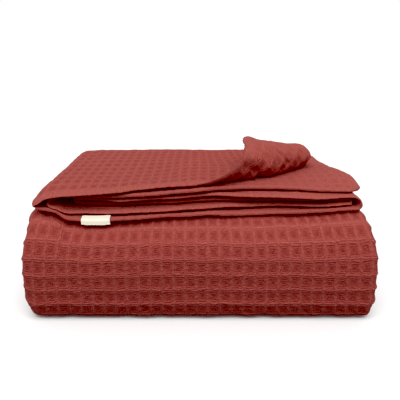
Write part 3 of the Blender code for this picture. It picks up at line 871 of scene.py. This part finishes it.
def moved_left(point):
    """How far a point moves to the left, by the foot, the left shoulder and the top's right side."""
    foot = max(1 - point.z / FOOT_HEIGHT, 0.0) ** 2 * eased(abs(point.x), *FOOT_X)
    swell = within(-point.x, SWELL_X) * within(point.z, SWELL_Z) * within(point.y, SWELL_Y)
    drawn = within(point.x, DRAWN_X) * within(point.z, DRAWN_Z)
    left = math.copysign(FOOT_ROUND * foot, point.x) + SIDE_SWELL * swell
    return left + SIDE_DRAWN * drawn * within(point.y, DRAWN_Y)


def blunted(point):
    """The height of a point once the top pass's left fold is blunt at the hems."""
    over = point.z - NOSE_LEVEL
    if abs(over) >= NOSE_HALF:
        return point.z
    blunt = mix(1.0, NOSE_BLUNT, eased(-point.x, *NOSE_X) * (1 - eased(point.y, *NOSE_Y)))
    return NOSE_LEVEL + math.copysign(NOSE_HALF * (abs(over) / NOSE_HALF) ** blunt, over)


def slump(point):
    """A point's last moves, by the unevenness of soft cloth and by its weight."""
    shift = noise.noise_vector(point / SLUMP_SIZE) * SLUMP * eased(point.z, *SLUMP_Z)
    moved = Vector((moved_left(point), 0.0, corner_sink(point)))
    point.z = blunted(point)
    point = point + shift - moved
    point.z = max(point.z, 0.0)
    return point


# %% Places of the lattice points
def cloth_point(u, v, off):
    """The place in the bundle of a point of the cloth, off its middle."""
    u, v = round_corner(u, v)
    point = carry(u, v, off + crease_height(u, v), hem_wave(u, v))
    if u < ACROSS[0][2] and v < ALONG[0][2]:
        return slump(turn_corner(point))
    if v > ALONG[0][2]:
        point.y -= SHOULDER * within(point.z, SHOULDER_Z) * eased(-point.y, *SHOULDER_Y)
    elif point.z > top_height(point, PLUMP_LAYERS[0]):
        point = plump(point)
    return slump(point)


def lattice_point(i, j, side):
    """The place in the bundle of a lattice point on one side of the cloth, or of its edge where side is 0."""
    u, v = U_LINES[i], V_LINES[j]
    if side == 0:
        u += EDGE_BULGE * ((i == LAST_I) - (i == 0))
        v += EDGE_BULGE * ((j == LAST_J) - (j == 0))
        return cloth_point(u, v, 0.0)
    if (i, j, side) not in FINE:
        return cloth_point(u, v, side * SHEET_HALF)
    shift = stray(i, j)
    return cloth_point(u + shift.x, v + shift.y, side * face_height(i, j, side))


FINE = set()
for side in (1, -1):
    for across, i0, i1 in ACROSS_PATCHES:
        for along, j0, j1 in ALONG_PATCHES:
            if is_shown(across, along, side) or "hem" in across or "hem" in along:
                FINE |= {(i, j, side) for i in range(i0, i1 + 1) for j in range(j0, j1 + 1)}

KEYS = list(dict.fromkeys(key for ring in RINGS for key in ring))
NUMBERS = {key: number for number, key in enumerate(KEYS)}
cloth_places = [lattice_point(*key) for key in KEYS]
print(f"{len(KEYS)} lattice points, up to {max(place.z for place in cloth_places):.1f} mm high")

# %% [markdown]
# ## The cloth in the frame
# The frame's solids were moved so that the origin lies under the middle of their box. The shift could be
# typed in, but it would be wrong after any change to the solids. The label's solid tells it: it was made at a
# known place on its hem, whose edge is straight there between two grid lines of the solid cloth.

# %% Where the frame lies in the fold tables
LABEL_X = -104.9
LABEL_WIDTH = 28.6
LABEL_REACH = 1.3       # of the label's outer face from its hem's edge
LABEL_GRID = (-124.0, -92.0)    # the grid lines beside the label


def under_hem(x):
    """The place across the cloth where layer 6, the lowest of the top pass, has an even X."""
    start_x, end_x = run_ends(1, 1.0)
    return ACROSS[0][2] + ACROSS[1][2] + ACROSS[2][2] * (x - start_x) / (end_x - start_x)


def solid_hem_y(x):
    """The Y of the solid hem's edge at an X beside the label."""
    left, right = (carry(under_hem(grid_x), 0.0, -HEM_HALF) for grid_x in LABEL_GRID)
    return left.lerp(right, (x - left.x) / (right.x - left.x)).y


def frame_shift():
    """How far the frame's solids lie from the fold tables' own origin."""
    nearest = min(solid_hem_y(LABEL_X + side * LABEL_WIDTH / 2) for side in (-1, 1))
    low, high = LABEL_BOX
    return Vector(((low[0] + high[0]) / 2 / MM - LABEL_X, low[1] / MM - nearest + LABEL_REACH, 0.0))


SHIFT = frame_shift()
print("shift of the frame:", [round(value, 2) for value in SHIFT])


def add_mesh(name, places, rings):
    """A smooth mesh object of places in the fold tables' millimetres."""
    mesh = bpy.data.meshes.new(name)
    mesh.from_pydata([(place + SHIFT) * MM for place in places], [], rings)
    mesh.shade_smooth()
    piece = bpy.data.objects.new(name, mesh)
    bpy.context.scene.collection.objects.link(piece)
    return piece


# %% The blanket's mesh, with its cells and the share of painted shade in them as an attribute for the material
# How strongly each face shows the painted shade in its cells, where the material darkens the colour from the
# ridges to a cell's middle; the hems get none
CELL_SHADE = 1.0       # how clearly a cell's colours show
PRESSED_CELL_SHADE = 0.3     # on the inner face
HEM_CELL_SHADE = 0.0

blanket = add_mesh("blanket_cloth", cloth_places, [[NUMBERS[key] for key in ring] for ring in RINGS])
cell_values = []
for i, j, side in KEYS:
    half = HALF_CELL if side < 0 else 0.0
    shade_share = CELL_SHADE if side > 0 else mix(PRESSED_CELL_SHADE, CELL_SHADE, near_crease(i, j))
    if in_hem(i, j):
        shade_share = HEM_CELL_SHADE
    cell_values += [U_CELLS[i] + half, V_CELLS[j] + half, shade_share]
blanket.data.attributes.new("cloth", "FLOAT_VECTOR", "POINT").data.foreach_set("vector", cell_values)
print(f"blanket: {len(blanket.data.polygons)} faces, "
      f"{' x '.join(f'{size / MM:.1f}' for size in blanket.dimensions)} mm")

# %% [markdown]
# ## The label
# A short piece of cream cotton tape, folded over the front hem of the lowest layer and sewn there. A bent
# strip could be set on the hem and fitted, but a tape whose outline is carried by the cloth's own functions
# follows the hem's waves by itself, so it is built that way. It is left bare.

# %% The tape's outline on its hem
TAPE_REACH = 0.45       # of its inner face from the hem
TAPE_SHEET = 0.7
TAPE_EDGE = 0.45        # of its thickness, at its edges
TAPE_EDGE_POWER = 6     # how close to its edges it thins
TAPE_TUCK = 7.2         # on the upper side of its hem
TAPE_DROP = 3.2         # its hanging end, under the middle of the hem's edge
TAPE_LOFT = 0.9         # how far its upper end stands off the hem
TAPE_BEND = 1.0         # from the hem's edge back to where its bend starts
TAPE_KICK = 0.3         # how far its hanging end stands out
TAPE_SKEW = 0.22        # how far its hanging end leans to the right, for each mm it hangs
TAPE_STATIONS = 14
TAPE_TURN = 6
TAPE_SHARP = 50         # degrees between faces from which an edge of it is sharp


def tape_line(reach):
    """The tape's path on a section of its hem, as (along, off), at a distance from the hem."""
    turn = [math.pi / 2 * k / TAPE_TURN for k in range(TAPE_TURN + 1)]
    line = [(TAPE_TUCK, -HEM_HALF - reach - TAPE_LOFT), (TAPE_TUCK / 2, -HEM_HALF - reach - TAPE_LOFT / 2)]
    bend = TAPE_BEND + EDGE_BULGE + reach
    line += [(TAPE_BEND - bend * math.sin(angle), -(HEM_HALF + reach) * math.cos(angle)) for angle in turn]
    return line + [(-EDGE_BULGE - reach, TAPE_DROP / 2), (-EDGE_BULGE - reach - TAPE_KICK, TAPE_DROP)]


def tape_ring(station):
    """The tape's outline at a station across it: out along its inner face and back along its outer one."""
    share = station / TAPE_STATIONS * 2 - 1
    x = LABEL_X + share * LABEL_WIDTH / 2
    sheet = TAPE_SHEET * mix(1.0, TAPE_EDGE, abs(share) ** TAPE_EDGE_POWER)
    path = tape_line(TAPE_REACH) + tape_line(TAPE_REACH + sheet)[::-1]
    return [cloth_point(under_hem_at(x + TAPE_SKEW * off), along, off) for along, off in path]


HEM_SPAN = (-140.0, -70.0)      # X beside the label, sampled every millimetre
HEM_SAMPLES = [under_hem(x) for x in np.linspace(*HEM_SPAN, 71)]
HEM_XS = [carry(u, 0.0, 0.0).x for u in HEM_SAMPLES]


def under_hem_at(x):
    """The place across the cloth where layer 6 has an X in the pressed bundle."""
    return float(np.interp(x, HEM_XS, HEM_SAMPLES))


# %% The tape's outlines, joined into a closed mesh
tape_places = [place for station in range(TAPE_STATIONS + 1) for place in tape_ring(station)]
round_tape = len(tape_places) // (TAPE_STATIONS + 1)
tape_rings = []
for station in range(TAPE_STATIONS):
    for k in range(round_tape):
        near, far = station * round_tape, (station + 1) * round_tape
        after = (k + 1) % round_tape
        tape_rings.append([near + k, far + k, far + after, near + after])
for k in range(round_tape // 2 - 1):
    ends = [k, k + 1, round_tape - 2 - k, round_tape - 1 - k]
    tape_rings.append(ends)
    tape_rings.append([TAPE_STATIONS * round_tape + number for number in ends[::-1]])
label = add_mesh("label_tape", tape_places, tape_rings)
label.data.set_sharp_from_angle(angle=math.radians(TAPE_SHARP))
print(f"label: {len(label.data.polygons)} faces, x {tape_places[0].x:.1f} to {tape_places[-1].x:.1f} mm")

# %% [markdown]
# ## Materials
# Both finishes are built of nodes instead of image textures, so that their patterns have a real size and
# nothing has to be unwrapped. Colours are picked as sRGB hex values and turned to linear by one function.

# %% Helpers for materials
def linear(colour):
    """A linear RGBA colour from an sRGB hex value."""
    shares = [int(colour[k:k + 2], 16) / 255 for k in (1, 3, 5)]
    return [share / 12.92 if share <= 0.04045 else ((share + 0.055) / 1.055) ** 2.4
            for share in shares] + [1.0]


def add_node(tree, kind, inputs=None, **settings):
    """Add a node, with its settings, and with values or links for its inputs."""
    node = tree.nodes.new("ShaderNode" + kind)
    for name, value in settings.items():
        setattr(node, name, value)
    for key, value in (inputs or {}).items():
        if isinstance(value, bpy.types.NodeSocket):
            tree.links.new(value, node.inputs[key])
        else:
            node.inputs[key].default_value = value
    return node


def new_material(name, shader_values):
    """A material with a Principled shader whose sockets have the given values."""
    material = bpy.data.materials.new(name)
    material.use_nodes = True
    shader = material.node_tree.nodes["Principled BSDF"]
    for key, value in shader_values.items():
        shader.inputs[key].default_value = value
    return material, material.node_tree, shader


def set_ramp(node, rows):
    """Set a colour ramp's stops to rows of (position, linear colour)."""
    ramp = node.color_ramp
    while len(ramp.elements) > 1:
        ramp.elements.remove(ramp.elements[-1])
    for number, (position, colour) in enumerate(rows):
        stop = ramp.elements[0] if number == 0 else ramp.elements.new(position)
        stop.position = position
        stop.color = colour


# %% [markdown]
# ### Waffle cotton
# Undyed cotton has an IOR of about 1.5 and no metal in it, and its fibres scatter light so widely that cloth
# is nearly as rough as a material can be, about 0.9. To the eye that is an even, dry colour with no glint.
# The fuzz of loose fibres catches light at a flat angle, which is the shader's sheen. The colour is painted
# darker from the ridges into the cells, as painted shade for the light that goes from thread to thread in
# them, and is paler on the ridges. The cells are real relief; the threads are too fine for the mesh, so they
# are a bump, read from the cloth's own cells.

# %% Waffle cotton
WAVE_BAND = 0.314       # scale at which a wave texture has one band in a unit
YARN = 2.3              # thread pitch in mm; real threads are about half as wide, too fine to show from here
YARN_SHARE = 0.25       # of the threads in the bump, beside the mottle
YARN_WAVER = 5.0
MOTTLE = 3.2            # size of the uneven patches of yarn and dye, in mm
MOTTLE_SHARE = 0.5      # how far the mottle shifts a colour's distance from a ridge, in cells
MOTTLE_MIDDLE = 0.2     # and what it adds on the whole, which is taken off again
FINE_DETAIL = 3.0
COTTON_COLOURS_AND_CELL_SHADE = (
    # distance from a ridge, in cells; colour, painted darker further into the cell as shade
    (0.0, "#A45850"),
    (0.16, "#9B4D46"),
    (0.5, "#893D37"),
)


def waffle_cotton():
    material, tree, shader = new_material("Waffle woven cotton", {
        "Roughness": 0.9, "IOR": 1.5, "Specular IOR Level": 0.2,
        "Sheen Weight": 0.2, "Sheen Roughness": 0.6, "Sheen Tint": linear("#D08078"),
    })
    cloth = add_node(tree, "Attribute", attribute_name="cloth").outputs["Vector"]
    place = add_node(tree, "SeparateXYZ", {0: cloth})
    across, along = (
        add_node(tree, "Math", {0: place.outputs[axis], 1: HALF_CELL}, operation="PINGPONG").outputs[0]
        for axis in (0, 1))
    in_mm = add_node(tree, "VectorMath", {0: cloth, 1: (CELL_WIDTH, CELL_HEIGHT, 0.0)},
                     operation="MULTIPLY").outputs[0]
    mottle = add_node(tree, "TexNoise", {
        "Vector": in_mm, "Scale": 1 / MOTTLE, "Detail": FINE_DETAIL}).outputs[0]

    # Painted shade: the ramp darkens the colour with the distance from the ridges, times the mesh's share of
    # painted shade; the mottle adds real uneven tone
    nearest = add_node(tree, "Math", {0: across, 1: along}, operation="MINIMUM").outputs[0]
    shown = add_node(tree, "Math", {0: nearest, 1: place.outputs[2]}, operation="MULTIPLY").outputs[0]
    uneven = add_node(tree, "Math", {0: mottle, 1: MOTTLE_SHARE, 2: shown},
                      operation="MULTIPLY_ADD").outputs[0]
    level = add_node(tree, "Math", {0: uneven, 1: MOTTLE_MIDDLE}, operation="SUBTRACT").outputs[0]
    colour = add_node(tree, "ValToRGB", {0: level})
    set_ramp(colour, [(position, linear(tone)) for position, tone in COTTON_COLOURS_AND_CELL_SHADE])
    tree.links.new(colour.outputs[0], shader.inputs["Base Color"])

    threads = [
        add_node(tree, "TexWave", {
            "Vector": in_mm, "Scale": WAVE_BAND / YARN, "Distortion": YARN_WAVER, "Detail": FINE_DETAIL,
        }, bands_direction=axis).outputs["Fac"]
        for axis in ("X", "Y")]
    beside_column = add_node(tree, "Math", {0: along, 1: across}, operation="GREATER_THAN").outputs[0]
    thread = add_node(tree, "Mix", {0: beside_column, 2: threads[1], 3: threads[0]}).outputs[0]
    height = add_node(tree, "Math", {0: thread, 1: YARN_SHARE, 2: mottle},
                      operation="MULTIPLY_ADD").outputs[0]
    bump = add_node(tree, "Bump", {"Strength": 0.8, "Distance": 0.0025, "Height": height})
    tree.links.new(bump.outputs[0], shader.inputs["Normal"])
    return material


blanket.data.materials.append(waffle_cotton())
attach(blanket, "root")
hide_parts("blanket")
print("blanket_cloth:", [slot.name for slot in blanket.material_slots])

# %% [markdown]
# ### Cotton tape
# The label is woven of undyed cotton in a close twill: IOR 1.5, no metal, a roughness of 0.8, so it is dull
# and a little smoother than the waffle. Its slanting ribs could be modelled, but they are far too low to show
# in the outline, so they are a bump.

# %% Cotton tape
RIB = 1.0               # from rib to rib in mm


def cotton_tape():
    material, tree, shader = new_material("Cream cotton tape", {
        "Base Color": linear("#F1E8D3"), "Roughness": 0.8, "IOR": 1.5, "Specular IOR Level": 0.25,
        "Sheen Weight": 0.1,
    })
    place = add_node(tree, "TexCoord").outputs["Object"]
    ribs = add_node(tree, "TexWave", {"Vector": place, "Scale": WAVE_BAND / (RIB * MM), "Distortion": 0.6},
                    bands_direction="DIAGONAL")
    bump = add_node(tree, "Bump", {"Strength": 0.3, "Distance": 0.0002, "Height": ribs.outputs["Fac"]})
    tree.links.new(bump.outputs[0], shader.inputs["Normal"])
    return material


label.data.materials.append(cotton_tape())
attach(label, "root")
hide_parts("label")
print("label_tape:", [slot.name for slot in label.material_slots])

# %% [markdown]
# ## The studio
# The blanket was photographed on a white sweep under large soft lights, from the front and a little above.
# A curved sweep could be built, but a flat floor that runs on to the horizon looks the same from here. It
# gives the cloth no light of its own, since the photograph's cloth is dark at its foot.

# %% Floor
FLOOR_SIDE = 40         # metres, to each side and to the front
FLOOR_BACK = 60

floor_mesh = bpy.data.meshes.new("studio_floor")
floor_mesh.from_pydata([(-FLOOR_SIDE, -FLOOR_SIDE, 0), (FLOOR_SIDE, -FLOOR_SIDE, 0),
                        (FLOOR_SIDE, FLOOR_BACK, 0), (-FLOOR_SIDE, FLOOR_BACK, 0)], [], [(0, 1, 2, 3)])
floor = bpy.data.objects.new("studio_floor", floor_mesh)
bpy.context.scene.collection.objects.link(floor)
floor.visible_diffuse = False
paper, _, _ = new_material("White paper floor", {"Base Color": linear("#FBFBFB"), "Roughness": 0.9})
floor_mesh.materials.append(paper)
print("floor:", [round(size) for size in floor.dimensions[:2]], "m")

# %% [markdown]
# ### Light from all round
# White walls round a studio light the sides of things. Area lights in a ring could do it, but a world whose
# brightness changes with height needs no placing: little comes from below, and most from just over the
# horizon.

# %% Light from all round
SKY = (
    # height from straight down to straight up, strength
    (0.475, 0.03),
    (0.495, 1.0),
    (0.56, 1.0),
    (0.64, 0.5),
)

world = bpy.data.worlds.new("studio")
bpy.context.scene.world = world
world.use_nodes = True
sky = world.node_tree
direction = add_node(sky, "SeparateXYZ", {0: add_node(sky, "TexCoord").outputs["Generated"]})
height = add_node(sky, "MapRange", {"Value": direction.outputs["Z"], "From Min": -1.0})
screen = add_node(sky, "ValToRGB", {0: height.outputs[0]})
set_ramp(screen, [(position, (strength, strength, strength, 1.0)) for position, strength in SKY])
sky.links.new(screen.outputs[0], sky.nodes["Background"].inputs["Color"])
print("sky strengths:", [strength for _, strength in SKY])

# %% [markdown]
# ### The soft light
# One large softbox hangs over the camera. An area light would do, and would have to be placed and fade as
# the real one does; a sun that is 50 degrees wide has the same soft shadows and is even all over.

# %% The soft light
LIGHT_HEIGHT = 54       # degrees over the horizon
LIGHT_SPREAD = 50       # degrees from side to side
LIGHT_STRENGTH = 2.7

light_data = bpy.data.lights.new("softbox", "SUN")
light_data.energy = LIGHT_STRENGTH
light_data.angle = math.radians(LIGHT_SPREAD)
light = bpy.data.objects.new("softbox", light_data)
light.rotation_euler = (math.radians(90 - LIGHT_HEIGHT), 0.0, 0.0)
bpy.context.scene.collection.objects.link(light)
print("soft light:", LIGHT_HEIGHT, "degrees high")

# %% [markdown]
# ### The camera
# The camera stands in front of the bundle, a little above it. A tracking constraint could aim it, but its
# tilt follows from how much of the top the photograph shows, so it is set directly.

# %% Camera
CAMERA_PLACE = Vector((0.0, -647.0, 277.6))
CAMERA_TILT = 15.5      # degrees down from level

camera_data = bpy.data.cameras.new("camera")
camera_data.lens = 50.0
camera_data.sensor_width = 36.0
camera = bpy.data.objects.new("camera", camera_data)
camera.location = (CAMERA_PLACE + SHIFT) * MM
camera.rotation_euler = (math.radians(90 - CAMERA_TILT), 0.0, 0.0)
bpy.context.scene.collection.objects.link(camera)
bpy.context.scene.camera = camera
print("camera:", [round(value, 3) for value in camera.location], "m")

# %% [markdown]
# ### How the picture is shown
# In the photograph the shadows of the red cloth have hardly any green or blue left. A deeper dye would also
# deepen the lit cloth, so the picture's own black level takes a little of both away instead.

# %% Colours of the picture
BLACK_LEVEL = (0.0, 0.024, 0.022)       # red, green, blue

view = bpy.context.scene.view_settings
view.view_transform = "Standard"
view.use_curve_mapping = True
view.curve_mapping.black_level = BLACK_LEVEL
view.curve_mapping.update()
print("black level:", BLACK_LEVEL)
